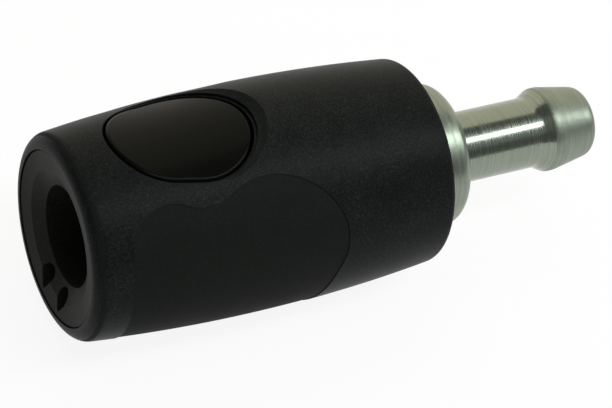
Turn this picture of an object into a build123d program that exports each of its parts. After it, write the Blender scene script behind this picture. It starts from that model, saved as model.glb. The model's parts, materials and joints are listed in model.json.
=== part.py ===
from build123d import *
from math import cos, radians, sin, sqrt
import os

# Push-button quick disconnect coupling with a hose barb. Millimetres.
# +X runs along the coupling axis from the plug mouth to the hose barb, +Z points at the button.
# The origin is on the axis, where the straight guide bore of the mouth starts.

# ---- moulded outer body ----
body_length = 69.6
body_front_radius = 18.4
body_belly_radius = 20.7
body_rear_radius = 19.0
belly_from_front = 37.4
front_round = 2.6
rear_round = 1.2

# ---- mouth bushing ----
mouth_recess = 0.15
flange_radius = 15.8
flange_thickness = 5.5
flange_round = 0.3
face_dish = 0.6
funnel_depth = 1.5
funnel_radius = 12.2
guide_radius = 9.15
guide_length = 12.2
spigot_radius = 12.0
vent_nose = 1.3
vent_tip_radius = 0.45
vent_web = 0.7
vent_rim = 1.15
vent_centre_angle = 16.5
vent_tip_angle = 13.0
snap_ring_wire = 0.6
snap_ring_from_face = 3.3
snap_ring_opening = 30.0

# ---- clearances ----
seat_gap = 0.05
gate_side_gap = 0.2
button_gap = 0.45
floor_gap = 0.3
slot_setback = 0.3
pin_gap = 0.02
stem_gap = 0.06
overlap = 1.0

# ---- button and its well ----
travel = 3.0
button_tip_from_front = 8.6
button_length = 25.8
button_half_width = 10.9
button_tip_round = 10.0
button_tip_height = 19.55
button_dish_height = 18.85
button_heel_height = 19.35
button_flatness = 9.0
button_inner_radius = 16.3
button_edge_round = 0.7
well_ledge = 1.0
scoop_reach = 1.8
ledge_drop = 0.3
ledge_flatness = 13.0
ramp_sections = 3
ramp_half_angle = 81.0
well_head_room = 3.0

# ---- finger grips on both flanks ----
grip_depth = 0.15
grip_facing = 70.0
grip_keel = 7.0
front_lobe_from_front = 14.2
front_lobe_rise = 2.0
front_lobe_radius = 7.7
rear_lobe_from_front = 32.4
rear_lobe_rise = -3.6
rear_lobe_radius = 14.7
lobe_blend = 8.0
grip_rear_lean = 4.0
grip_head_room = 2.0

# ---- latch gate ----
gate_thickness = 6.0
gate_half_width = 9.5
gate_hole_radius = 8.0
gate_foot = 7.8
gate_corner = 2.8
gate_lead_in = 1.2
tongue_thickness = 2.6
tongue_half_width = 5.0
tongue_root = 0.5
button_pin_radius = 0.9
button_pin_below_cap = 1.7
stop_pin_radius = 1.0
stop_pin_height = -10.55
stop_pin_grip = 5.0
spring_offset = 6.0
spring_hole_radius = 1.9
spring_hole_depth = 5.3
gate_spring_radius = 1.35
gate_spring_wire = 0.25
gate_spring_turns = 6

# ---- core tube and plug seal ----
core_radius = 12.2
core_nose_radius = 11.0
core_nose_length = 3.0
core_setback = 0.1
core_end_gap = 1.2
plug_bore_radius = 7.65
plug_bore_length = 15.6
chamber_radius = 9.8
seal_groove_radius = 9.3
seal_groove_from_front = 5.7
seal_section = 1.05
backup_thickness = 0.8
core_seal_section = 0.8
core_seal_from_front = 11.5

# ---- valve ----
nose_radius = 6.8
nose_bore_radius = 4.6
nose_reach = 6.0
nose_floor = 1.2
window_length = 3.6
window_width = 3.4
valve_seal_thickness = 1.35
valve_seal_radius = 8.9
head_radius = 8.8
head_thickness = 2.6
stem_radius = 1.6
stem_tail = 2.2
screw_radius = 2.5
screw_length = 2.4
valve_spring_radius = 7.75
valve_spring_wire = 0.55
valve_spring_turns = 4
guide_thickness = 3.4
guide_rim_thickness = 1.6
guide_rim_radius = 7.0
guide_skirt_radius = 8.0
hub_radius = 3.4
arm_width = 2.2
arm_root = 1.0
circlip_thickness = 1.0
circlip_groove_depth = 0.8
circlip_inner_radius = 8.6
circlip_half_opening = 1.5
circlip_lug_radius = 1.4
circlip_eye_radius = 0.6

# ---- hose barb adapter ----
spigot_length = 11.6
collar_length = 7.3
collar_radius = 13.35
collar_round = 2.4
collar_root_round = 0.4
tube_radius = 6.65
tube_length = 19.1
barb_rise = 2.5
barb_radius = 8.0
barb_land = 1.2
barb_taper = 8.3
barb_nose_radius = 6.5
barb_nose_round = 1.9
barb_foot_round = 2.0
barb_crest_round = 1.5
flow_radius = 4.5
adapter_seal_section = 0.8
thread_chamfer = 0.8

# ---- stations along X ----
face_x = -funnel_depth - face_dish
front_x = face_x - mouth_recess
rear_x = front_x + body_length
belly_x = front_x + belly_from_front
flange_rear_x = face_x + flange_thickness
slot_front_x = guide_length + slot_setback
gate_front_x = slot_front_x + gate_side_gap
gate_rear_x = gate_front_x + gate_thickness
gate_mid_x = (gate_front_x + gate_rear_x) / 2
slot_rear_x = gate_rear_x + gate_side_gap
core_front_x = slot_rear_x + core_setback
core_shoulder_x = core_front_x + core_nose_length
core_rear_x = rear_x - core_end_gap
seat_x = core_front_x + plug_bore_length
head_front_x = seat_x + seat_gap + valve_seal_thickness
head_rear_x = head_front_x + head_thickness
spigot_front_x = rear_x - spigot_length
circlip_x = spigot_front_x - circlip_thickness - 2 * seat_gap
guide_rear_x = circlip_x - seat_gap
guide_front_x = guide_rear_x - guide_thickness
snap_ring_x = face_x + snap_ring_from_face
snap_groove_half = snap_ring_wire + seat_gap
collar_rear_x = rear_x + collar_length
barb_foot_x = collar_rear_x + tube_length
barb_crest_x = barb_foot_x + barb_rise
barb_tip_x = barb_crest_x + barb_land + barb_taper

button_tip_x = front_x + button_tip_from_front
button_heel_x = button_tip_x + button_length

# ---- heights ----
well_top_z = body_belly_radius + well_head_room
hole_z = travel
gate_bottom_z = hole_z - gate_hole_radius - gate_foot
slot_floor_z = gate_bottom_z - travel - floor_gap
slot_half_width = gate_half_width + gate_side_gap
slot_corner = gate_corner + gate_side_gap
tongue_top_z = button_inner_radius - 2 * seat_gap
cheek_bottom_z = hole_z + gate_half_width + floor_gap
button_pin_z = button_inner_radius - button_pin_below_cap
stop_slot_bottom_z = stop_pin_height - stop_pin_radius - seat_gap
stop_slot_top_z = stop_pin_height + stop_pin_radius + travel + gate_side_gap


def cylinder_x(radius, start, end, mode=Mode.ADD):
    """A round bar, or a bore, along X."""
    with BuildSketch(Plane.YZ.offset(start)) as disc:
        Circle(radius)
    extrude(disc.sketch, amount=end - start, mode=mode)


def groove_x(start, end, inner, outer, mode=Mode.SUBTRACT):
    """A ring of rectangular section round the X axis."""
    with BuildSketch(Plane.XZ) as section:
        with Locations(((start + end) / 2, (inner + outer) / 2)):
            Rectangle(end - start, outer - inner)
    revolve(section.sketch, axis=Axis.X, mode=mode)


def bead_x(x, mean_radius, section_radius, arc=360.0):
    """A ring of round section round the X axis: an O-ring or a wire ring."""
    with BuildSketch(Plane.XZ) as section:
        with Locations((x, mean_radius)):
            Circle(section_radius)
    revolve(section.sketch, axis=Axis.X, revolution_arc=arc)


def crown_arc(inset=0.0):
    """The barrel's crowned outline, moved inwards by inset."""
    return ThreePointArc(
        (front_x, body_front_radius - inset),
        (belly_x, body_belly_radius - inset),
        (rear_x, body_rear_radius - inset),
    )


def crown_radius(x):
    """Radius of the barrel's crowned surface at a station."""
    drop = body_belly_radius - body_front_radius
    profile_radius = (belly_from_front**2 + drop**2) / (2 * drop)
    return body_belly_radius - profile_radius + sqrt(profile_radius**2 - (x - belly_x) ** 2)


def height_over(reach, angle, height, flatness):
    """Height of a surface turned about an axis flatness below X, at a plan distance and angle."""
    return sqrt((height + flatness) ** 2 - (reach * sin(radians(angle))) ** 2) - flatness


def axis_below(flatness):
    """The axis that a flatter surface is turned about: along X, below the coupling's axis."""
    return Axis((0, 0, -flatness), (1, 0, 0))


def button_outline(margin):
    """The button's egg outline seen from above, grown by margin."""
    with Locations((button_tip_x + button_tip_round, 0)):
        Circle(button_tip_round + margin)
    with Locations((button_heel_x - button_half_width, 0)):
        Circle(button_half_width + margin)
    make_hull()


def dish_arc(drop):
    """The button's crown line: a shallow saddle along X."""
    mid_x = (button_tip_x + button_heel_x) / 2
    return ThreePointArc(
        (button_tip_x, button_tip_height - drop),
        (mid_x, button_dish_height - drop),
        (button_heel_x, button_heel_height - drop),
    )


def spring(start, end, radius, wire, turns, direction):
    """A compression spring whose end turns touch the planes at start and end."""
    axis = Vector(*direction)
    first = Vector(*start) + axis * wire
    height = (Vector(*end) - Vector(*start)).length - 2 * wire
    with BuildPart() as coil:
        with BuildLine():
            path = Helix(height / turns, height, radius, center=first, direction=axis)
        with BuildSketch(Plane(path @ 0, z_dir=path % 0)):
            Circle(wire)
        sweep(is_frenet=True)
    return coil


# ---- cutting tools that shape the body ----
with BuildPart() as button_well:
    with BuildSketch(Plane.XY):
        button_outline(button_gap)
    extrude(amount=well_top_z)
    with BuildSketch(Plane.YZ.offset(front_x)):
        with Locations((0, -(travel + floor_gap))):
            Circle(button_inner_radius)
    extrude(amount=body_length, mode=Mode.SUBTRACT)

with BuildPart() as thumb_scoop:
    with BuildSketch(Plane.XZ):
        with BuildLine():
            ledge = dish_arc(ledge_drop)
            heel = ledge @ 1
            Polyline(
                heel, (button_heel_x + scoop_reach, heel.Y),
                (button_heel_x + scoop_reach, well_top_z), (button_tip_x, well_top_z), ledge @ 0,
            )
        make_face()
    revolve(axis=axis_below(ledge_flatness))
    with BuildSketch(Plane.XY):
        button_outline(well_ledge)
    extrude(amount=well_top_z, mode=Mode.INTERSECT)

with BuildPart() as scoop_ramp:
    ramp_centre_x = button_heel_x - button_half_width
    foot = button_half_width + well_ledge - overlap
    for turn in range(-ramp_sections, ramp_sections + 1):
        angle = turn * ramp_half_angle / ramp_sections
        reach = foot + overlap + scoop_reach * cos(radians(angle))
        foot_z = height_over(foot, angle, button_heel_height - ledge_drop, ledge_flatness)
        edge_x = ramp_centre_x + reach * cos(radians(angle))
        edge_z = height_over(reach, angle, crown_radius(edge_x), 0)
        rise = (edge_z - foot_z) / (reach - foot)
        section_plane = Plane(
            origin=(ramp_centre_x, 0, 0),
            x_dir=(cos(radians(angle)), sin(radians(angle)), 0),
            z_dir=(sin(radians(angle)), -cos(radians(angle)), 0),
        )
        with BuildSketch(section_plane):
            with BuildLine():
                Polyline(
                    (foot, foot_z), (reach + overlap, edge_z + rise * overlap),
                    (reach + overlap, well_top_z), (foot, well_top_z), close=True,
                )
            make_face()
    loft()

grip_plane = Plane(
    origin=(0, 0, 0), x_dir=(1, 0, 0),
    z_dir=(0, -sin(radians(grip_facing)), cos(radians(grip_facing))),
)
front_lobe_x = front_x + front_lobe_from_front
rear_lobe_x = front_x + rear_lobe_from_front
grip_reach = body_belly_radius + grip_head_room
with BuildPart() as near_grip:
    with BuildSketch(grip_plane) as grip_outline:
        with Locations((front_lobe_x, front_lobe_rise)):
            Circle(front_lobe_radius)
        with Locations((rear_lobe_x, rear_lobe_rise)):
            Circle(rear_lobe_radius)
        lobes_meet = grip_outline.vertices().sort_by(Axis.Y)[-1]
        with BuildLine():
            Polyline(
                (front_lobe_x - front_lobe_radius, front_lobe_rise),
                (rear_lobe_x, rear_lobe_rise),
                (rear_lobe_x + rear_lobe_radius, rear_lobe_rise),
                (rear_lobe_x + rear_lobe_radius - grip_rear_lean, -grip_reach),
                (front_lobe_x - front_lobe_radius, -grip_reach),
                close=True,
            )
        make_face()
        fillet(grip_outline.vertices().sort_by_distance(lobes_meet)[0], lobe_blend)
    extrude(amount=grip_reach, both=True)
    with BuildSketch(Plane.XZ):
        with BuildLine():
            floor = crown_arc(grip_depth)
            Polyline(floor @ 1, (rear_x, 0), (front_x, 0), floor @ 0)
        make_face()
    revolve(axis=Axis.X, mode=Mode.SUBTRACT)
    with Locations(((front_x + rear_x) / 2, grip_reach - grip_keel, 0)):
        Box(2 * body_length, 2 * grip_reach, 4 * grip_reach, mode=Mode.SUBTRACT)

# ---- outer body ----
with BuildPart() as outer_body:
    with BuildSketch(Plane.XZ) as barrel:
        with BuildLine():
            crown = crown_arc()
            Polyline(crown @ 1, (rear_x, 0), (front_x, 0), crown @ 0)
        make_face()
        fillet(barrel.vertices().sort_by_distance((front_x, body_front_radius, 0))[0], front_round)
        fillet(barrel.vertices().sort_by_distance((rear_x, body_rear_radius, 0))[0], rear_round)
    revolve(axis=Axis.X)
    cylinder_x(flange_radius + seat_gap, front_x, flange_rear_x, Mode.SUBTRACT)
    cylinder_x(spigot_radius + seat_gap, flange_rear_x, slot_front_x, Mode.SUBTRACT)
    cylinder_x(core_nose_radius + seat_gap, slot_front_x, core_shoulder_x, Mode.SUBTRACT)
    cylinder_x(core_radius + seat_gap, core_shoulder_x, rear_x, Mode.SUBTRACT)
    groove_x(snap_ring_x - snap_groove_half, snap_ring_x + snap_groove_half,
             flange_radius - overlap, flange_radius + snap_groove_half)
    with BuildSketch(Plane.YZ.offset(slot_front_x)) as gate_slot:
        slot_top_z = button_inner_radius
        with Locations((0, (slot_floor_z + slot_top_z) / 2)):
            Rectangle(2 * slot_half_width, slot_top_z - slot_floor_z)
        fillet(gate_slot.vertices().group_by(Axis.Y)[0], slot_corner)
    extrude(amount=slot_rear_x - slot_front_x, mode=Mode.SUBTRACT)
    add(button_well.part, mode=Mode.SUBTRACT)
    add(thumb_scoop.part, mode=Mode.SUBTRACT)
    add(scoop_ramp.part, mode=Mode.SUBTRACT)
    add(near_grip.part, mode=Mode.SUBTRACT)
    add(near_grip.part.mirror(Plane.XZ), mode=Mode.SUBTRACT)

# ---- mouth bushing with funnel, vents and snap ring groove ----
vent_height = flange_radius - vent_rim - guide_radius - vent_web
vent_radius = (vent_height - vent_nose) / 2
vent_centre_radius = guide_radius + vent_web + vent_radius
vent_tip_centre_radius = flange_radius - vent_rim - vent_tip_radius
with BuildPart() as front_bushing:
    with BuildSketch(Plane.XZ) as bushing_section:
        with BuildLine():
            Polyline(
                (-funnel_depth, funnel_radius), (face_x, flange_radius),
                (flange_rear_x, flange_radius), (flange_rear_x, spigot_radius),
                (guide_length, spigot_radius), (guide_length, guide_radius),
                (0, guide_radius), close=True,
            )
        make_face()
        fillet(bushing_section.vertices().sort_by_distance((face_x, flange_radius, 0))[0],
               flange_round)
    revolve(axis=Axis.X)
    with BuildSketch(Plane.YZ.offset(face_x)) as vents:
        with Locations((
            vent_centre_radius * sin(radians(vent_centre_angle)),
            -vent_centre_radius * cos(radians(vent_centre_angle)),
        )):
            Circle(vent_radius)
        with Locations((
            vent_tip_centre_radius * sin(radians(vent_tip_angle)),
            -vent_tip_centre_radius * cos(radians(vent_tip_angle)),
        )):
            Circle(vent_tip_radius)
        make_hull()
        mirror(about=Plane.YZ)
    extrude(amount=guide_length - face_x, mode=Mode.SUBTRACT)
    groove_x(snap_ring_x - snap_groove_half, snap_ring_x + snap_groove_half,
             flange_radius - snap_groove_half, flange_radius + overlap)
    with BuildSketch(Plane.YZ.offset(guide_length)):
        with Locations((0, stop_pin_height)):
            Circle(stop_pin_radius + pin_gap)
    extrude(amount=-stop_pin_grip, mode=Mode.SUBTRACT)

with BuildPart() as bushing_snap_ring:
    bead_x(snap_ring_x, flange_radius, snap_ring_wire, 360 - snap_ring_opening)

# ---- push button: crowned cap with a clevis that takes the gate's tongue ----
with BuildPart() as push_button:
    with BuildSketch(Plane.XZ):
        with BuildLine():
            top = dish_arc(0)
            Polyline(
                top @ 1, (button_heel_x, -button_flatness), (button_tip_x, -button_flatness), top @ 0,
            )
        make_face()
    revolve(axis=axis_below(button_flatness))
    with BuildSketch(Plane.XY):
        button_outline(0)
    extrude(amount=well_top_z, mode=Mode.INTERSECT)
    fillet(push_button.faces().sort_by(Axis.Z)[-1].edges(), button_edge_round)
    cylinder_x(button_inner_radius, front_x, rear_x, Mode.SUBTRACT)
    with BuildSketch(Plane.XY.offset(cheek_bottom_z)):
        with Locations((gate_mid_x, 0)):
            Rectangle(gate_thickness, 2 * tongue_half_width)
            Rectangle(tongue_thickness + gate_side_gap, 2 * tongue_half_width, mode=Mode.SUBTRACT)
    extrude(amount=button_inner_radius - cheek_bottom_z + seat_gap)
    with BuildSketch(Plane.YZ.offset(gate_front_x)):
        with Locations((0, button_pin_z)):
            Circle(button_pin_radius + pin_gap)
    extrude(amount=gate_thickness, mode=Mode.SUBTRACT)

with BuildPart() as button_pin:
    with BuildSketch(Plane.YZ.offset(gate_front_x + gate_side_gap)):
        with Locations((0, button_pin_z)):
            Circle(button_pin_radius)
    extrude(amount=gate_thickness - 2 * gate_side_gap)

# ---- latch gate ----
with BuildPart() as latch_gate:
    with BuildSketch(Plane.YZ.offset(gate_front_x)) as plate:
        with Locations((0, (gate_bottom_z + hole_z) / 2)):
            Rectangle(2 * gate_half_width, hole_z - gate_bottom_z)
        fillet(plate.vertices().group_by(Axis.Y)[0], gate_corner)
        with Locations((0, hole_z)):
            Circle(gate_half_width)
            Circle(gate_hole_radius, mode=Mode.SUBTRACT)
        with Locations((0, (stop_slot_bottom_z + stop_slot_top_z) / 2)):
            SlotOverall(stop_slot_top_z - stop_slot_bottom_z, 2 * (stop_pin_radius + seat_gap),
                        rotation=90, mode=Mode.SUBTRACT)
    extrude(amount=gate_thickness)
    lead_in = latch_gate.edges().filter_by(GeomType.CIRCLE).filter_by(
        lambda e: abs(e.radius - gate_hole_radius) < 0.01).sort_by(Axis.X)[0]
    chamfer(lead_in, gate_lead_in)
    with BuildSketch(Plane.YZ.offset(gate_mid_x - tongue_thickness / 2)):
        with BuildLine():
            foot_z = hole_z + sqrt(gate_half_width**2 - tongue_half_width**2) - tongue_root
            Polyline(
                (-tongue_half_width, foot_z), (tongue_half_width, foot_z),
                (tongue_half_width, button_pin_z), (button_pin_radius, tongue_top_z),
                (-button_pin_radius, tongue_top_z), (-tongue_half_width, button_pin_z),
                close=True,
            )
        make_face()
        with Locations((0, button_pin_z)):
            Circle(button_pin_radius + pin_gap, mode=Mode.SUBTRACT)
    extrude(amount=tongue_thickness)
    with BuildSketch(Plane.XY.offset(gate_bottom_z)):
        with Locations((gate_mid_x, spring_offset), (gate_mid_x, -spring_offset)):
            Circle(spring_hole_radius)
    extrude(amount=spring_hole_depth, mode=Mode.SUBTRACT)

with BuildPart() as gate_stop_pin:
    with BuildSketch(Plane.YZ.offset(guide_length - stop_pin_grip)):
        with Locations((0, stop_pin_height)):
            Circle(stop_pin_radius)
    extrude(amount=gate_rear_x - guide_length + stop_pin_grip)

gate_springs = {
    side: spring(
        (gate_mid_x, sign * spring_offset, slot_floor_z),
        (gate_mid_x, sign * spring_offset, gate_bottom_z + spring_hole_depth),
        gate_spring_radius, gate_spring_wire, gate_spring_turns, (0, 0, 1),
    )
    for side, sign in (("left", 1), ("right", -1))
}

# ---- core tube ----
circlip_groove_radius = chamber_radius + circlip_groove_depth
core_seal_x = core_front_x + core_seal_from_front
seal_groove_x = core_front_x + seal_groove_from_front
seal_groove_end_x = seal_groove_x + backup_thickness + 2 * seal_section + 4 * seat_gap
with BuildPart() as core_tube:
    cylinder_x(core_nose_radius, core_front_x, core_shoulder_x)
    cylinder_x(core_radius, core_shoulder_x, core_rear_x)
    cylinder_x(plug_bore_radius, core_front_x, seat_x, Mode.SUBTRACT)
    cylinder_x(chamber_radius, seat_x, core_rear_x, Mode.SUBTRACT)
    groove_x(seal_groove_x, seal_groove_end_x, plug_bore_radius - overlap, seal_groove_radius)
    groove_x(circlip_x - seat_gap, circlip_x + circlip_thickness + seat_gap,
             chamber_radius - overlap, circlip_groove_radius)
    groove_x(core_seal_x - core_seal_section - 2 * seat_gap,
             core_seal_x + core_seal_section + 2 * seat_gap,
             core_radius - 2 * core_seal_section, core_radius + overlap)

with BuildPart() as core_seal:
    bead_x(core_seal_x, core_radius - core_seal_section, core_seal_section)

with BuildPart() as plug_seal:
    bead_x(seal_groove_end_x - seal_section - seat_gap, seal_groove_radius - seal_section, seal_section)

with BuildPart() as plug_backup_ring:
    groove_x(seal_groove_x + seat_gap, seal_groove_x + seat_gap + backup_thickness,
             plug_bore_radius + seat_gap, seal_groove_radius, Mode.ADD)

# ---- valve ----
nose_front_x = seat_x - nose_reach
with BuildPart() as valve_nose:
    cylinder_x(nose_radius, nose_front_x, head_front_x)
    cylinder_x(nose_bore_radius, nose_front_x, head_front_x - nose_floor, Mode.SUBTRACT)
    cylinder_x(screw_radius + pin_gap, head_front_x - nose_floor, head_front_x, Mode.SUBTRACT)
    with Locations((head_front_x - nose_floor - window_length / 2, 0, 0)):
        Box(window_length, window_width, 3 * nose_radius, mode=Mode.SUBTRACT)
        Box(window_length, 3 * nose_radius, window_width, mode=Mode.SUBTRACT)

with BuildPart() as valve_seal:
    groove_x(seat_x + seat_gap, head_front_x, nose_radius + seat_gap, valve_seal_radius, Mode.ADD)

with BuildPart() as valve_stem:
    cylinder_x(head_radius, head_front_x, head_rear_x)
    cylinder_x(stem_radius, head_rear_x, guide_rear_x + stem_tail)
    cylinder_x(screw_radius, head_front_x - screw_length, head_front_x)
    tail = valve_stem.edges().filter_by(GeomType.CIRCLE).sort_by(Axis.X)[-1]
    chamfer(tail, stem_radius / 4)

valve_spring = spring(
    (head_rear_x, 0, 0), (guide_front_x, 0, 0),
    valve_spring_radius, valve_spring_wire, valve_spring_turns, (1, 0, 0),
)

with BuildPart() as valve_guide:
    with BuildSketch(Plane.YZ.offset(guide_front_x)):
        Circle(chamber_radius - seat_gap)
        Circle(guide_rim_radius, mode=Mode.SUBTRACT)
        with PolarLocations((guide_rim_radius + hub_radius) / 2, 3, start_angle=90):
            Rectangle(guide_rim_radius - hub_radius + 2 * arm_root, arm_width)
    extrude(amount=guide_rim_thickness)
    with BuildSketch(Plane.YZ.offset(guide_front_x)):
        Circle(chamber_radius - seat_gap)
        Circle(guide_skirt_radius, mode=Mode.SUBTRACT)
        Circle(hub_radius)
    extrude(amount=guide_thickness)
    cylinder_x(stem_radius + stem_gap, guide_front_x, guide_rear_x, Mode.SUBTRACT)

with BuildPart() as guide_circlip:
    with BuildSketch(Plane.YZ.offset(circlip_x)):
        Circle(circlip_groove_radius - seat_gap)
        Circle(circlip_inner_radius, mode=Mode.SUBTRACT)
        with Locations((0, circlip_inner_radius)):
            Rectangle(2 * circlip_half_opening, 2 * circlip_inner_radius, mode=Mode.SUBTRACT)
        with Locations(
            (circlip_half_opening + circlip_lug_radius, circlip_inner_radius),
            (-circlip_half_opening - circlip_lug_radius, circlip_inner_radius),
        ):
            Circle(circlip_lug_radius)
            Circle(circlip_eye_radius, mode=Mode.SUBTRACT)
    extrude(amount=circlip_thickness)

# ---- hose barb adapter, turned in one piece ----
adapter_seal_x = spigot_front_x + thread_chamfer + 2 * adapter_seal_section
spigot_thread_radius = chamber_radius - seat_gap
with BuildPart() as hose_barb:
    with BuildSketch(Plane.XZ) as turning:
        with BuildLine():
            Polyline(
                (spigot_front_x, flow_radius),
                (spigot_front_x, spigot_thread_radius - thread_chamfer),
                (spigot_front_x + thread_chamfer, spigot_thread_radius),
                (rear_x, spigot_thread_radius), (rear_x, collar_radius),
                (collar_rear_x, collar_radius), (collar_rear_x, tube_radius),
                (barb_foot_x, tube_radius), (barb_crest_x, barb_radius),
                (barb_crest_x + barb_land, barb_radius), (barb_tip_x, barb_nose_radius),
                (barb_tip_x, flow_radius), close=True,
            )
        make_face()

        def corner(x, radius):
            """The profile's corner nearest to a station and a radius."""
            return turning.vertices().sort_by_distance((x, radius, 0))[0]

        fillet(corner(collar_rear_x, collar_radius), collar_round)
        fillet(corner(collar_rear_x, tube_radius), collar_root_round)
        fillet(corner(barb_foot_x, tube_radius), barb_foot_round)
        fillet(corner(barb_crest_x, barb_radius), barb_crest_round)
        fillet(corner(barb_crest_x + barb_land, barb_radius), barb_crest_round)
        fillet(corner(barb_tip_x, barb_nose_radius), barb_nose_round)
    revolve(axis=Axis.X)
    groove_x(adapter_seal_x - adapter_seal_section - 2 * seat_gap,
             adapter_seal_x + adapter_seal_section + 2 * seat_gap,
             spigot_thread_radius - 2 * adapter_seal_section, spigot_thread_radius + overlap)

with BuildPart() as adapter_seal:
    bead_x(adapter_seal_x, spigot_thread_radius - adapter_seal_section, adapter_seal_section)

# ---- one STEP file per piece ----
pieces = {
    "outer_body": outer_body,
    "front_bushing": front_bushing,
    "bushing_snap_ring": bushing_snap_ring,
    "push_button": push_button,
    "button_pin": button_pin,
    "latch_gate": latch_gate,
    "gate_stop_pin": gate_stop_pin,
    "gate_spring_left": gate_springs["left"],
    "gate_spring_right": gate_springs["right"],
    "core_tube": core_tube,
    "core_seal": core_seal,
    "plug_seal": plug_seal,
    "plug_backup_ring": plug_backup_ring,
    "valve_nose": valve_nose,
    "valve_seal": valve_seal,
    "valve_stem": valve_stem,
    "valve_spring": valve_spring,
    "valve_guide": valve_guide,
    "guide_circlip": guide_circlip,
    "hose_barb": hose_barb,
    "adapter_seal": adapter_seal,
}
os.makedirs("parts", exist_ok=True)
for name, piece in pieces.items():
    piece.part.label = name
    export_step(piece.part, f"parts/{name}.step")
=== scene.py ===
import json
import math

import bpy
from mathutils import Matrix, Quaternion, Vector


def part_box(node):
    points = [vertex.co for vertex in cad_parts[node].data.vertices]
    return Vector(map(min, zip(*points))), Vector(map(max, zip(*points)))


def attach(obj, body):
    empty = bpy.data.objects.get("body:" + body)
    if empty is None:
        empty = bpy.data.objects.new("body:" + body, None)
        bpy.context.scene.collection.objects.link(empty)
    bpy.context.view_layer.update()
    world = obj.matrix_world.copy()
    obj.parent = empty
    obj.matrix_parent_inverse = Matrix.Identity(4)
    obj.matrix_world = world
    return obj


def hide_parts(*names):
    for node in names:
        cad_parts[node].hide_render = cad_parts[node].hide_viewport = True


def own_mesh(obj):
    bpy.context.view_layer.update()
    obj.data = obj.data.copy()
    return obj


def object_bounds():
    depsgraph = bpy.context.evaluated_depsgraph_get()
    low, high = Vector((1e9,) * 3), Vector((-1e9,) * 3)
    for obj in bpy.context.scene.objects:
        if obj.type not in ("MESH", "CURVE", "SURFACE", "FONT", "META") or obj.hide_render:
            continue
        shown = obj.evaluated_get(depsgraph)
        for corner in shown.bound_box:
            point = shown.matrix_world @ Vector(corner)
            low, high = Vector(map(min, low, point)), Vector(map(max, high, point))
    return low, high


mm = 0.001
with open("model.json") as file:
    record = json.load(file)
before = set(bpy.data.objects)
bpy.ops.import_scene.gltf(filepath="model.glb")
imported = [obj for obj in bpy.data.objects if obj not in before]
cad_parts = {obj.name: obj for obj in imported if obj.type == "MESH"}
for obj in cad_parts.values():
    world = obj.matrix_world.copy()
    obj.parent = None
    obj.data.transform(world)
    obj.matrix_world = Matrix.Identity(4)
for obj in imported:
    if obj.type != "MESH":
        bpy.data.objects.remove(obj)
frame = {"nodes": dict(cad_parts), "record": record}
cadLow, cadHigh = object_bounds()
print("frame loaded with", len(frame["nodes"]), "nodes")


class Value:  # wraps one socket, so that shader maths reads as plain sums
    def __init__(self, finish, socket):
        self.finish = finish
        self.socket = socket

    def __add__(self, other):
        return self.finish.maths("ADD", self, other)

    def __radd__(self, other):
        return self.finish.maths("ADD", other, self)

    def __sub__(self, other):
        return self.finish.maths("SUBTRACT", self, other)

    def __rsub__(self, other):
        return self.finish.maths("SUBTRACT", other, self)

    def __mul__(self, other):
        return self.finish.maths("MULTIPLY", self, other)

    def __rmul__(self, other):
        return self.finish.maths("MULTIPLY", other, self)

    def __truediv__(self, other):
        return self.finish.maths("DIVIDE", self, other)


class Finish:  # one material: its main shader and the nodes that feed it
    def __init__(self, name, constants):
        self.material = bpy.data.materials.new(name)
        self.material.use_nodes = True
        self.tree = self.material.node_tree
        self.shader = self.tree.nodes["Principled BSDF"]
        self.feed(self.shader, constants)

    def feed(self, node, inputs):
        for key, value in inputs.items():
            if isinstance(value, Value):
                self.tree.links.new(value.socket, node.inputs[key])
            else:
                node.inputs[key].default_value = value

    def node(self, kind, settings, inputs, output=0):
        made = self.tree.nodes.new("ShaderNode" + kind)
        for key, value in settings.items():
            setattr(made, key, value)
        self.feed(made, inputs)
        return Value(self, made.outputs[output])

    def maths(self, operation, *operands):
        return self.node("Math", {"operation": operation}, dict(enumerate(operands)))

    def step(self, value, low, high):  # 0 below low, 1 above high, smooth between
        return self.node("MapRange", {"interpolation_type": "SMOOTHSTEP"},
                         {"Value": value, "From Min": low, "From Max": high})

    def spread(self, value, low, high):  # takes 0..1 to low..high
        return self.node("MapRange", {}, {"Value": value, "To Min": low, "To Max": high})

    def mixColour(self, mask, first, second):
        return self.node("Mix", {"data_type": "RGBA"}, {0: mask, 6: first, 7: second}, 2)

    def place(self):  # the part's own coordinates in metres, as one vector
        return self.node("TexCoord", {}, {}, 3)

    def aroundAxis(self, whole):  # x along the part's axis, and the distance from that axis
        x, y, z = [self.node("SeparateXYZ", {}, {0: whole}, axis) for axis in range(3)]
        return x, self.maths("SQRT", y * y + z * z)

    def noise(self, vector, size, detail=2.0, rough=0.5):  # size is a grain in metres
        return self.node("TexNoise", {}, {"Vector": vector, "Scale": 1 / size,
                                          "Detail": detail, "Roughness": rough})

    def rings(self, x, size, detail=1.0):  # lathe rings, the same all the way round
        return self.node("TexNoise", {"noise_dimensions": "1D"},
                         {"W": x / size, "Scale": 1.0, "Detail": detail})

    def bump(self, height, distance):
        return self.node("Bump", {}, {"Height": height, "Distance": distance})

    def finish(self, **links):
        self.feed(self.shader, {key.replace("_", " "): value for key, value in links.items()})
        return self.material


def rgba(red, green, blue):
    return (red, green, blue, 1.0)


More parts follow.
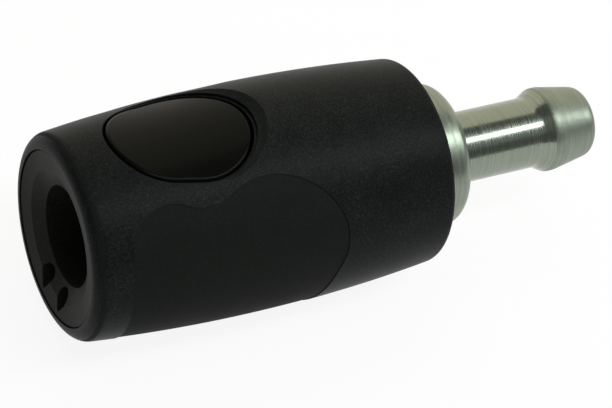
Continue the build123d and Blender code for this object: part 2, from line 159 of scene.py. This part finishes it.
# the three plastics
bodyLook = {
    "dark": rgba(0.0054, 0.0065, 0.0061), "light": rgba(0.0156, 0.0178, 0.0170),
    "gripDark": rgba(0.0085, 0.0096, 0.0088), "gripLight": rgba(0.0125, 0.0138, 0.0124),
    "fleck": rgba(0.034, 0.040, 0.039), "specular": 0.055, "roughness": (0.36, 0.48),
    "gripRoughness": (0.60, 0.72), "grain": 0.34 * mm, "fleckGrain": 0.45 * mm,
    "cloud": 6 * mm, "cloudShare": 0.2, "speckFrom": 0.42, "speckTo": 0.68,
    "fleckFrom": 0.72, "fleckTo": 0.80, "grainHeight": 0.024 * mm,
    "bellyX": 35.15 * mm, "bellyRadius": 20.7 * mm, "crownRadius": 304.0 * mm,
    "gripFrom": 0.06 * mm, "gripTo": 0.10 * mm, "gripUntil": 0.40 * mm, "gripEdge": 0.05 * mm,
}


def bodyPlastic():
    look = bodyLook
    made = Finish("bodyPlastic", {"Specular IOR Level": look["specular"]})
    whole = made.place()
    x, radius = made.aroundAxis(whole)
    fromBelly = x - look["bellyX"]
    crown = made.maths("SQRT", look["crownRadius"] ** 2 - fromBelly * fromBelly)
    # how deep a point lies below the crowned barrel, which tells the sunk grips from the rest
    depth = crown + (look["bellyRadius"] - look["crownRadius"]) - radius
    sunk = made.step(depth, look["gripFrom"], look["gripTo"])
    deeper = made.step(depth, look["gripUntil"], look["gripUntil"] + look["gripEdge"])
    grip = sunk * (1 - deeper)
    grain = made.noise(whole, look["grain"], detail=3.0, rough=0.6)
    cloud = made.noise(whole, look["cloud"], detail=3.0)
    mottle = grain * (1 - look["cloudShare"]) + cloud * look["cloudShare"]
    speck = made.step(mottle, look["speckFrom"], look["speckTo"])
    fleck = made.step(made.noise(whole, look["fleckGrain"], detail=1.0),
                      look["fleckFrom"], look["fleckTo"])
    plain = made.mixColour(speck, look["dark"], look["light"])
    plain = made.mixColour(fleck, plain, look["fleck"])
    gripped = made.mixColour(speck, look["gripDark"], look["gripLight"])
    smooth = made.spread(cloud, *look["roughness"])
    matt = made.spread(cloud, *look["gripRoughness"])
    return made.finish(
        Base_Color=made.mixColour(grip, plain, gripped),
        Roughness=smooth + grip * (matt - smooth),
        Normal=made.bump(grain, look["grainHeight"]),
    )


buttonLook = {
    "dark": rgba(0.0021, 0.0022, 0.0017), "light": rgba(0.0038, 0.0039, 0.0031),
    "specular": 0.06, "roughness": (0.22, 0.30), "grain": 0.20 * mm, "cloud": 5 * mm,
    "speckFrom": 0.4, "speckTo": 0.7, "grainHeight": 0.004 * mm,
}


def buttonPlastic():
    look = buttonLook
    made = Finish("buttonPlastic", {"Specular IOR Level": look["specular"]})
    whole = made.place()
    grain = made.noise(whole, look["grain"])
    cloud = made.noise(whole, look["cloud"], detail=4.0)
    speck = made.step(grain, look["speckFrom"], look["speckTo"])
    return made.finish(
        Base_Color=made.mixColour(speck, look["dark"], look["light"]),
        Roughness=made.spread(cloud, *look["roughness"]),
        Normal=made.bump(grain, look["grainHeight"]),
    )


bushingLook = {
    "dark": rgba(0.0135, 0.0150, 0.0118), "light": rgba(0.0225, 0.0245, 0.0192),
    "specular": 0.03, "roughness": (0.38, 0.48), "ring": 0.35 * mm, "ringShare": 0.3,
    "grain": 0.3 * mm, "cloud": 4 * mm, "speckFrom": 0.35, "speckTo": 0.7,
    "grainHeight": 0.006 * mm,
}


def bushingPlastic():
    look = bushingLook
    made = Finish("bushingPlastic", {"Specular IOR Level": look["specular"]})
    whole = made.place()
    x, radius = made.aroundAxis(whole)
    grain = made.noise(whole, look["grain"], detail=3.0)
    ring = made.rings(radius, look["ring"], detail=2.0)
    speck = made.step(grain, look["speckFrom"], look["speckTo"])
    height = grain * (1 - look["ringShare"]) + ring * look["ringShare"]
    return made.finish(
        Base_Color=made.mixColour(speck, look["dark"], look["light"]),
        Roughness=made.spread(made.noise(whole, look["cloud"]), *look["roughness"]),
        Normal=made.bump(height, look["grainHeight"]),
    )


# the turned and ground metals
turning = {  # shared by all turned pieces
    "lean": 0.7, "headEdge": 0.5 * mm, "collarEdge": 1.0 * mm,
    "fineShare": 0.55, "cloudShare": 0.25, "coarseShare": 0.20, "marksFrom": 0.38, "marksTo": 0.62,
}


def turnedMetal(name, look):  # rings left by the lathe, under a thin plated or bare skin
    made = Finish(name, {"Metallic": 1.0})
    whole = made.place()
    x, radius = made.aroundAxis(whole)
    along = x + radius * turning["lean"]  # so that end faces get rings too
    coarse = made.rings(along, look["coarseRing"])
    fine = made.rings(along, look["fineRing"], detail=2.0)
    cloud = made.noise(whole, look["cloud"], detail=4.0, rough=0.6)
    grain = made.noise(whole, look["grain"])
    ring = coarse * look["coarseShare"] + fine * (1 - look["coarseShare"])
    height = ring + grain * look["grainShare"]
    head = made.step(x, look["headFrom"], look["headFrom"] + turning["headEdge"])
    collar = 1 - made.step(x, look["collarUntil"] - turning["collarEdge"], look["collarUntil"])
    rougher = head * look["headRoughness"] + collar * look["collarRoughness"]
    mottle = fine * turning["fineShare"] + cloud * turning["cloudShare"]
    mottle = mottle + coarse * turning["coarseShare"]
    marks = made.step(mottle, turning["marksFrom"], turning["marksTo"])
    return made.finish(
        Base_Color=made.mixColour(marks, look["dark"], look["light"]),
        Roughness=made.spread(marks, *look["roughness"]) + rougher,
        Normal=made.bump(height + head * fine * look["headMarks"], look["height"]),
    )


zincLook = {
    "dark": rgba(0.235, 0.264, 0.214), "light": rgba(0.278, 0.306, 0.254),
    "roughness": (0.29, 0.13),
    "coarseRing": 0.75 * mm, "fineRing": 0.22 * mm, "coarseShare": 0.5, "grainShare": 0.16,
    "cloud": 3.0 * mm, "grain": 0.25 * mm, "height": 0.012 * mm,
    "headFrom": 95.5 * mm, "headRoughness": 0.24, "headMarks": 1.8,
    "collarUntil": 74.6 * mm, "collarRoughness": 0.16,
}
brassLook = {
    "dark": rgba(0.50, 0.37, 0.16), "light": rgba(0.64, 0.50, 0.25), "roughness": (0.22, 0.40),
    "coarseRing": 0.6 * mm, "fineRing": 0.14 * mm, "coarseShare": 0.5, "grainShare": 0.1,
    "cloud": 4.0 * mm, "grain": 0.3 * mm, "height": 0.010 * mm,
    "headFrom": 95.5 * mm, "headRoughness": 0.0, "headMarks": 0.0,
    "collarUntil": 74.6 * mm, "collarRoughness": 0.0,
}


def groundSteel(name, look):  # short parallel marks from a grinding wheel
    made = Finish(name, {"Metallic": 1.0})
    whole = made.place()
    stretched = made.node("VectorMath", {"operation": "MULTIPLY"},
                          {0: whole, 1: look["stretch"]})
    marks = made.noise(stretched, look["grain"], detail=3.0, rough=0.6)
    cloud = made.noise(whole, look["cloud"], detail=3.0)
    mottle = made.step((marks + cloud) / 2, *look["mottle"])
    return made.finish(
        Base_Color=made.mixColour(mottle, look["dark"], look["light"]),
        Roughness=made.spread(marks, *look["roughness"]),
        Normal=made.bump(marks, look["height"]),
    )


gateLook = {
    "dark": rgba(0.38, 0.38, 0.37), "light": rgba(0.52, 0.52, 0.50), "roughness": (0.24, 0.42),
    "stretch": (1.0, 0.12, 1.0), "grain": 0.12 * mm, "cloud": 3 * mm, "height": 0.004 * mm,
    "mottle": (0.35, 0.65),
}
pinLook = {
    "dark": rgba(0.46, 0.46, 0.45), "light": rgba(0.58, 0.58, 0.57), "roughness": (0.14, 0.26),
    "stretch": (1.0, 0.3, 0.3), "grain": 0.08 * mm, "cloud": 2 * mm, "height": 0.002 * mm,
    "mottle": (0.35, 0.65),
}
wireLook = {
    "dark": rgba(0.34, 0.34, 0.33), "light": rgba(0.48, 0.47, 0.45), "roughness": (0.22, 0.36),
    "stretch": (1.0, 1.0, 1.0), "grain": 0.15 * mm, "cloud": 1.5 * mm, "height": 0.003 * mm,
    "mottle": (0.35, 0.65),
}


# rubber seals and the white backup ring
def mouldedSeal(name, look):
    made = Finish(name, {"Specular IOR Level": look["specular"]})
    whole = made.place()
    grain = made.noise(whole, look["grain"], detail=3.0)
    cloud = made.noise(whole, look["cloud"])
    return made.finish(
        Base_Color=made.mixColour(made.step(cloud, *look["mottle"]), look["dark"], look["light"]),
        Roughness=made.spread(grain, *look["roughness"]),
        Normal=made.bump(grain, look["height"]),
    )


rubberLook = {
    "dark": rgba(0.010, 0.010, 0.010), "light": rgba(0.018, 0.018, 0.017), "specular": 0.35,
    "roughness": (0.42, 0.60), "grain": 0.12 * mm, "cloud": 1.5 * mm, "height": 0.004 * mm,
    "mottle": (0.35, 0.65),
}
whiteRingLook = {
    "dark": rgba(0.70, 0.70, 0.66), "light": rgba(0.80, 0.80, 0.77), "specular": 0.4,
    "roughness": (0.30, 0.42), "grain": 0.2 * mm, "cloud": 2 * mm, "height": 0.003 * mm,
    "mottle": (0.35, 0.65),
}

materials = {
    "body_plastic": bodyPlastic(),
    "button_plastic": buttonPlastic(),
    "bushing_plastic": bushingPlastic(),
    "zinc_plated_steel": turnedMetal("zincPlate", zincLook),
    "core_brass": turnedMetal("turnedBrass", brassLook),
    "gate_steel": groundSteel("gateSteel", gateLook),
    "pin_steel": groundSteel("pinSteel", pinLook),
    "spring_steel": groundSteel("springWire", wireLook),
    "seal_rubber": mouldedSeal("sealRubber", rubberLook),
    "backup_ring_plastic": mouldedSeal("whiteRing", whiteRingLook),
}
slotOf = {part["node"]: part["material_slot"] for part in frame["record"]["subparts"]}
for nodeName, piece in frame["nodes"].items():
    for spot in piece.material_slots:
        spot.material = materials[slotOf[nodeName]]
print("materials on", len(frame["nodes"]), "nodes")


# springs: coils with closed, ground ends
gateSpring = {
    "axis": 2, "fixedEnd": "low", "joint": "button_press", "travel": 3.0 * mm, "wire": 0.25 * mm,
    "turns": 8.0, "closedPitch": 0.46, "stepsPerTurn": 40, "around": 14, "endGap": 0.02 * mm,
}
valveSpring = {
    "axis": 0, "fixedEnd": "high", "joint": "valve_lift", "travel": 6.0 * mm, "wire": 0.55 * mm,
    "turns": 5.5, "closedPitch": 0.50, "stepsPerTurn": 64, "around": 18, "endGap": 0.03 * mm,
}
coilEnds = {"easeFrom": 0.75, "easeOver": 0.5, "ground": 0.45, "sharpAngle": 35}


def ease(value):
    value = min(max(value, 0.0), 1.0)
    return value * value * (3 - 2 * value)


def wireClimbs(values):  # how fast the wire climbs at each step: slowly in the closed end turns
    climbs = []
    for step in range(int(values["turns"] * values["stepsPerTurn"])):
        turn = (step + 0.5) / values["stepsPerTurn"]
        inside = min(turn, values["turns"] - turn) - coilEnds["easeFrom"]
        share = ease(inside / coilEnds["easeOver"])
        climbs.append(values["closedPitch"] + (1 - values["closedPitch"]) * share)
    return climbs


def coilCorners(low, high, values, climbs):  # one ring of corners a step, ground flat at the ends
    axis, wire = values["axis"], values["wire"]
    side, other = (axis + 1) % 3, (axis + 2) % 3
    radius = (high[side] - low[side]) / 2 - wire
    bottom, top = low[axis] + values["endGap"], high[axis] - values["endGap"]
    rise = (top - bottom - 2 * wire * coilEnds["ground"]) / sum(climbs)
    height = bottom + wire * coilEnds["ground"]
    corners = []
    for step in range(len(climbs) + 1):
        angle = 2 * math.pi * step / values["stepsPerTurn"]
        for spot in range(values["around"]):
            about = 2 * math.pi * spot / values["around"]
            out = radius + wire * math.cos(about)
            corner = [0.0, 0.0, 0.0]
            corner[side] = (low[side] + high[side]) / 2 + out * math.cos(angle)
            corner[other] = (low[other] + high[other]) / 2 + out * math.sin(angle)
            corner[axis] = min(max(height + wire * math.sin(about), bottom), top)
            corners.append(corner)
        if step < len(climbs):
            height += rise * climbs[step]
    return corners


def tubeFaces(steps, around):
    faces = []
    for step in range(steps):
        for spot in range(around):
            ahead = (spot + 1) % around
            faces.append((step * around + spot, (step + 1) * around + spot,
                          (step + 1) * around + ahead, step * around + ahead))
    faces.append(tuple(range(around)))
    faces.append(tuple(steps * around + spot for spot in reversed(range(around))))
    return faces


def windCoil(name, node, values):
    low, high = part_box(node)
    climbs = wireClimbs(values)
    faces = tubeFaces(len(climbs), values["around"])
    mesh = bpy.data.meshes.new(name + "Mesh")
    mesh.from_pydata(coilCorners(low, high, values, climbs), [], faces)
    mesh.polygons.foreach_set("use_smooth", [True] * len(faces))
    mesh.set_sharp_from_angle(angle=math.radians(coilEnds["sharpAngle"]))
    mesh.materials.append(materials["spring_steel"])
    coil = bpy.data.objects.new(name, mesh)
    bpy.context.scene.collection.objects.link(coil)
    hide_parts(node)
    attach(coil, "root")
    axis = values["axis"]
    along, anchor = [0.0, 0.0, 0.0], [(low[k] + high[k]) / 2 for k in range(3)]
    along[axis] = 1.0
    anchor[axis] = high[axis] if values["fixedEnd"] == "high" else low[axis]
    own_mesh(coil)


windCoil("gateCoilLeft", "gate_spring_left", gateSpring)
windCoil("gateCoilRight", "gate_spring_right", gateSpring)
windCoil("valveCoil", "valve_spring", valveSpring)
print("three springs wound")


# floor
floorLook = {"half": 6.0, "colour": rgba(0.94, 0.94, 0.94), "whiteShare": 0.90,
             "roughness": 0.9, "specular": 0.1}


def layFloor():
    mesh = bpy.data.meshes.new("floorMesh")
    half = floorLook["half"]
    level = cadLow.z
    corners = [(-half, -half, level), (half, -half, level),
               (half, half, level), (-half, half, level)]
    mesh.from_pydata(corners, [], [(0, 1, 2, 3)])
    floor = bpy.data.objects.new("floor", mesh)
    bpy.context.scene.collection.objects.link(floor)
    paint = Finish("floorPaint", {"Base Color": floorLook["colour"],
                                  "Roughness": floorLook["roughness"],
                                  "Specular IOR Level": floorLook["specular"]})
    byCamera, byGloss, byGlass = [paint.node("LightPath", {}, {}, output) for output in
                                  ("Is Camera Ray", "Is Glossy Ray", "Is Transmission Ray")]
    mask = paint.maths("MAXIMUM", paint.maths("MAXIMUM", byCamera, byGloss), byGlass)
    glow = paint.node("Emission", {}, {"Color": rgba(1, 1, 1), "Strength": 1.0})
    both = paint.node("MixShader", {}, {0: mask * floorLook["whiteShare"],
                                        1: Value(paint, paint.shader.outputs[0]), 2: glow})
    paint.tree.links.new(both.socket, paint.tree.nodes["Material Output"].inputs["Surface"])
    mesh.materials.append(paint.material)


layFloor()
print("floor laid at", round(cadLow.z / mm, 2), "mm")

# lamps: each is a soft panel that looks at the middle of the part
middle = (cadLow + cadHigh) / 2
lamps = {
    "overhead": {"toward": (0.10, 0.10, 1.0), "away": 1.3, "size": (1.2, 1.2), "radiance": 0.75,
                 "colour": (1.0, 1.0, 1.0), "inReflections": False},
    "farWall": {"toward": (0.40, 0.74, 0.52), "away": 1.0, "size": (2.2, 1.45), "radiance": 0.90,
                "colour": (1.0, 0.94, 0.79), "inReflections": True},
    "strip": {"toward": (0.46, -0.46, 0.82), "away": 1.05, "size": (1.60, 0.21), "radiance": 8.0,
              "colour": (0.93, 1.0, 0.99), "inReflections": True},
    "halo": {"toward": (0.20, -0.55, 0.80), "away": 1.3, "size": (2.0, 1.2), "radiance": 0.16,
             "colour": (0.92, 1.0, 0.99), "inReflections": True},
}


def hangLamp(name, values):
    data = bpy.data.lights.new(name, "AREA")
    data.shape = "RECTANGLE"
    data.size, data.size_y = values["size"]
    data.energy = values["radiance"] * math.pi * data.size * data.size_y
    data.color = values["colour"]
    lamp = bpy.data.objects.new(name, data)
    toward = Vector(values["toward"]).normalized()
    lamp.location = middle + toward * values["away"]
    along = (Vector((1, 0, 0)) - toward * toward.x).normalized()  # the long side follows the part
    turn = Matrix((along, toward.cross(along), toward)).transposed()
    lamp.rotation_euler = turn.to_euler()
    lamp.visible_camera = False
    lamp.visible_glossy = values["inReflections"]
    bpy.context.scene.collection.objects.link(lamp)


for lampName, lampValues in lamps.items():
    hangLamp(lampName, lampValues)
roomColour = rgba(0.15, 0.155, 0.15)
world = bpy.data.worlds.new("studio")
world.use_nodes = True
world.node_tree.nodes["Background"].inputs["Color"].default_value = roomColour
bpy.context.scene.world = world
bpy.context.scene.view_settings.view_transform = "Standard"
print("lamps hung:", ", ".join(lamps))

# camera
cameraLook = {"lens": 152.94, "azimuth": -33.62, "elevation": 40.28, "roll": 10.27,
              "away": 469.46 * mm, "target": (45.95 * mm, -2.73 * mm, -2.68 * mm),
              "clipFrom": 10 * mm}


def setCamera():
    data = bpy.data.cameras.new("camera")
    data.lens = cameraLook["lens"]
    data.clip_start = cameraLook["clipFrom"]
    azimuth = math.radians(cameraLook["azimuth"])
    elevation = math.radians(cameraLook["elevation"])
    back = Vector((math.sin(azimuth) * math.cos(elevation),
                   -math.cos(azimuth) * math.cos(elevation), math.sin(elevation)))
    camera = bpy.data.objects.new("camera", data)
    camera.location = Vector(cameraLook["target"]) + back * cameraLook["away"]
    turn = Quaternion((0, 0, 1), math.radians(cameraLook["roll"]))
    camera.rotation_euler = ((-back).to_track_quat("-Z", "Y") @ turn).to_euler()
    bpy.context.scene.collection.objects.link(camera)
    bpy.context.scene.camera = camera


setCamera()
print("camera set")
